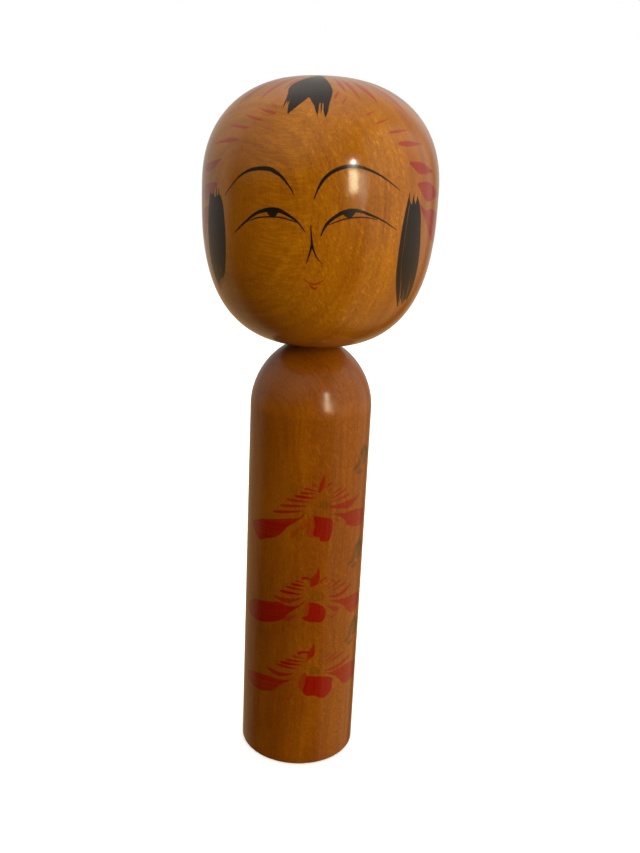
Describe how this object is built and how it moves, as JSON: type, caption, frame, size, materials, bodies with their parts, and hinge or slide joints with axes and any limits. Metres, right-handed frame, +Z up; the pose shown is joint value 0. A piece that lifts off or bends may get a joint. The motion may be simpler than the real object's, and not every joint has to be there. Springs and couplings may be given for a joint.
{
  "type": "kokeshi doll",
  "caption": "Turned wooden doll with a large rounded head on a slim limbless body; the head turns on a hidden neck peg and the flat base stands on a shelf.",
  "frame": {"origin": "centre of the flat base, on the surface that the doll stands on", "axes": "+Z up along the turning axis to the crown; the face looks along -Y; +X is to the viewer's right as the viewer looks at the face"},
  "size_m": [0.0768, 0.0768, 0.24],
  "materials": {
    "stained_wood": "aged amber wood, waxed to a gloss",
    "bare_wood": "plain turned wood, unfinished",
    "ink_black": "black brush ink soaked into waxed wood",
    "dye_red": "red brush dye soaked into waxed wood",
    "dye_green": "faded green brush dye soaked into waxed wood"
  },
  "bodies": {
    "body": {"body": "stained_wood"},
    "head": {"head": "stained_wood", "neck_peg": "bare_wood"}
  },
  "joints": [
    {"name": "head_turn", "type": "hinge", "parent": "body", "child": "head", "pos_m": [0, 0, 0.1541], "axis": [0, 0, 1], "continuous": true}
  ]
}
